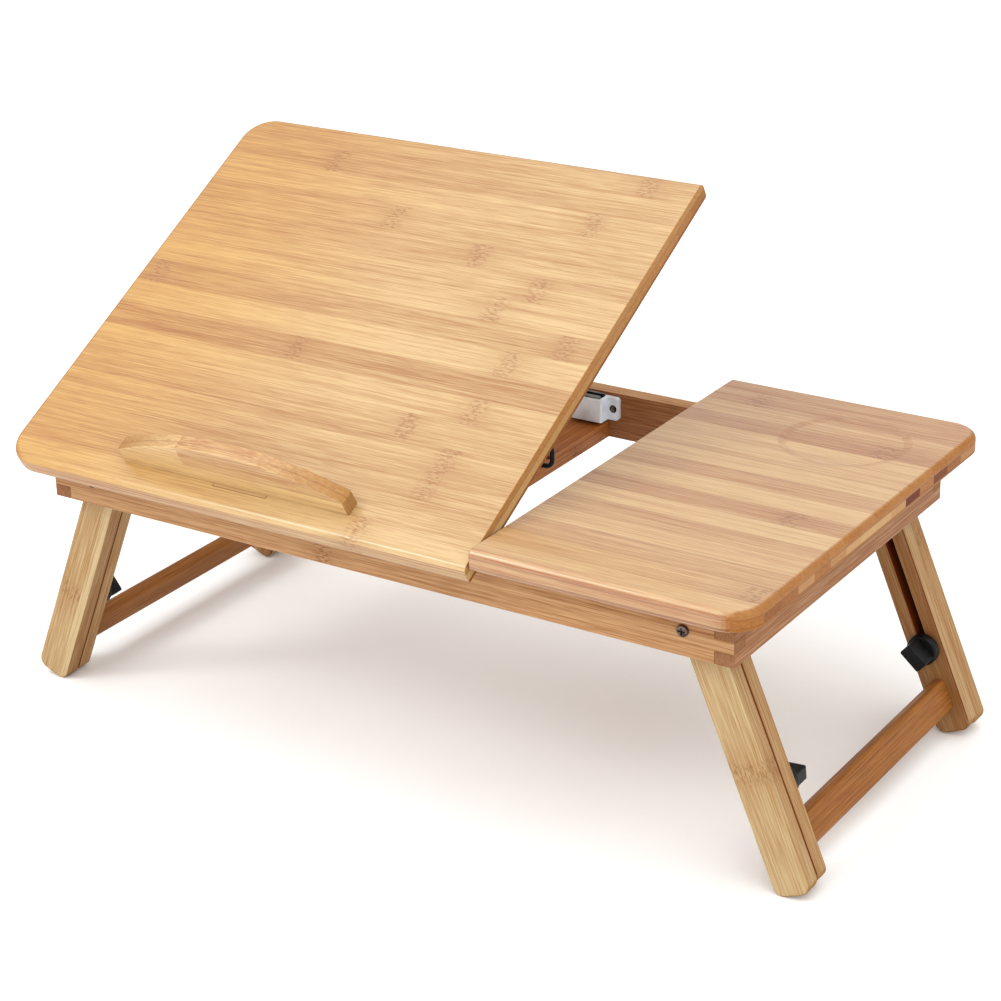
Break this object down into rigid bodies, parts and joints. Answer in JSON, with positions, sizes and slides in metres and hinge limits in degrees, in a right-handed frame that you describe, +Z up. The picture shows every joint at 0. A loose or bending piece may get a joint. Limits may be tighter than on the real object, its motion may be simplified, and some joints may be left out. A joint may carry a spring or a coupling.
{
  "type": "folding laptop table",
  "caption": "Bamboo bed table with a tilting laptop top and stop ledge, a fixed side top with a cup recess, a wire prop on a notched rail, and folding legs that extend and clamp",
  "frame": {"origin": "on the floor under the middle of the table", "axes": "+X to the right seen from the front, +Y to the back, +Z up"},
  "size_m": [0.5422, 0.3031, 0.3117],
  "materials": {
    "tilt_top_bamboo": "satin varnish",
    "fixed_top_bamboo": "satin varnish",
    "ledge_bamboo": "satin varnish",
    "rail_bamboo": "satin varnish",
    "inner_bamboo": "satin varnish",
    "leg_bamboo": "satin varnish",
    "stretcher_bamboo": "satin varnish",
    "knob_plastic": "satin black",
    "catch_plastic": "white, slightly cloudy",
    "black_wire": "black coating",
    "dark_screw_steel": "dark plating",
    "zinc_steel": "zinc plating",
    "magnet": "dull ceramic, dense and grey-black"
  },
  "bodies": {
    "frame": {"front_rail": "rail_bamboo", "back_rail": "rail_bamboo", "left_rail": "rail_bamboo", "right_rail": "rail_bamboo", "cross_rail": "inner_bamboo", "rack_strip": "inner_bamboo", "fixed_top": "fixed_top_bamboo", "fixed_top_dowels": "inner_bamboo", "catch_body": "catch_plastic", "catch_magnet": "magnet", "catch_plates": "zinc_steel", "catch_screws": "dark_screw_steel", "hinge_rail_leaves": "zinc_steel", "hinge_pins": "zinc_steel", "hinge_rail_screws": "zinc_steel", "leg_pivot_screws": "dark_screw_steel", "leg_pivot_nuts": "zinc_steel", "leg_pivot_washers": "zinc_steel"},
    "tilting_top": {"tilt_top": "tilt_top_bamboo", "stop_ledge": "ledge_bamboo", "ledge_key": "tilt_top_bamboo", "ledge_screws": "dark_screw_steel", "strike_plate": "zinc_steel", "strike_screws": "zinc_steel", "hinge_top_leaves": "zinc_steel", "hinge_top_screws": "zinc_steel", "pivot_block": "inner_bamboo", "pivot_block_screws": "dark_screw_steel"},
    "prop": {"prop_wire": "black_wire"},
    "left_legs": {"front_left_leg": "leg_bamboo", "rear_left_leg": "leg_bamboo", "left_clamp_bolts": "zinc_steel", "left_clamp_washers": "zinc_steel"},
    "left_extension": {"front_left_sliding_leg": "leg_bamboo", "rear_left_sliding_leg": "leg_bamboo", "left_stretcher": "stretcher_bamboo", "left_stretcher_brads": "zinc_steel"},
    "front_left_clamp_knob": {"front_left_knob": "knob_plastic", "front_left_knob_insert": "zinc_steel"},
    "rear_left_clamp_knob": {"rear_left_knob": "knob_plastic", "rear_left_knob_insert": "zinc_steel"},
    "right_legs": {"front_right_leg": "leg_bamboo", "rear_right_leg": "leg_bamboo", "right_clamp_bolts": "zinc_steel", "right_clamp_washers": "zinc_steel"},
    "right_extension": {"front_right_sliding_leg": "leg_bamboo", "rear_right_sliding_leg": "leg_bamboo", "right_stretcher": "stretcher_bamboo", "right_stretcher_brads": "zinc_steel"},
    "front_right_clamp_knob": {"front_right_knob": "knob_plastic", "front_right_knob_insert": "zinc_steel"},
    "rear_right_clamp_knob": {"rear_right_knob": "knob_plastic", "rear_right_knob_insert": "zinc_steel"}
  },
  "joints": [
    {"name": "top_tilt", "type": "hinge", "parent": "frame", "child": "tilting_top", "pos_m": [-0.08425, -0.1316, 0.16549], "axis": [1, 0, 0], "range_deg": [-29.2, 6]},
    {"name": "prop_swing", "type": "hinge", "parent": "tilting_top", "child": "prop", "pos_m": [0, -0.03837, 0.2137], "axis": [1, 0, 0], "range_deg": [-14.81, 68.2]},
    {"name": "left_legs_fold", "type": "hinge", "parent": "frame", "child": "left_legs", "pos_m": [-0.20131, 0, 0.15029], "axis": [0, -1, 0], "range_deg": [0, 112.5]},
    {"name": "left_legs_extend", "type": "slide", "parent": "left_legs", "child": "left_extension", "axis": [0.3827, 0, 0.9239], "range_m": [-0.085, 0]},
    {"name": "front_left_knob_turn", "type": "hinge", "parent": "left_legs", "child": "front_left_clamp_knob", "pos_m": [-0.24111, -0.0929, 0.0542], "axis": [0, 1, 0], "continuous": true},
    {"name": "rear_left_knob_turn", "type": "hinge", "parent": "left_legs", "child": "rear_left_clamp_knob", "pos_m": [-0.24111, 0.0929, 0.0542], "axis": [0, -1, 0], "continuous": true},
    {"name": "right_legs_fold", "type": "hinge", "parent": "frame", "child": "right_legs", "pos_m": [0.20131, 0, 0.15029], "axis": [0, 1, 0], "range_deg": [0, 112.5]},
    {"name": "right_legs_extend", "type": "slide", "parent": "right_legs", "child": "right_extension", "axis": [-0.3827, 0, 0.9239], "range_m": [-0.085, 0]},
    {"name": "front_right_knob_turn", "type": "hinge", "parent": "right_legs", "child": "front_right_clamp_knob", "pos_m": [0.24111, -0.0929, 0.0542], "axis": [0, 1, 0], "continuous": true},
    {"name": "rear_right_knob_turn", "type": "hinge", "parent": "right_legs", "child": "rear_right_clamp_knob", "pos_m": [0.24111, 0.0929, 0.0542], "axis": [0, -1, 0], "continuous": true}
  ],
  "couplings": [
    {"joint": "prop_swing", "follows": "top_tilt", "ratio": -2.3014}
  ]
}
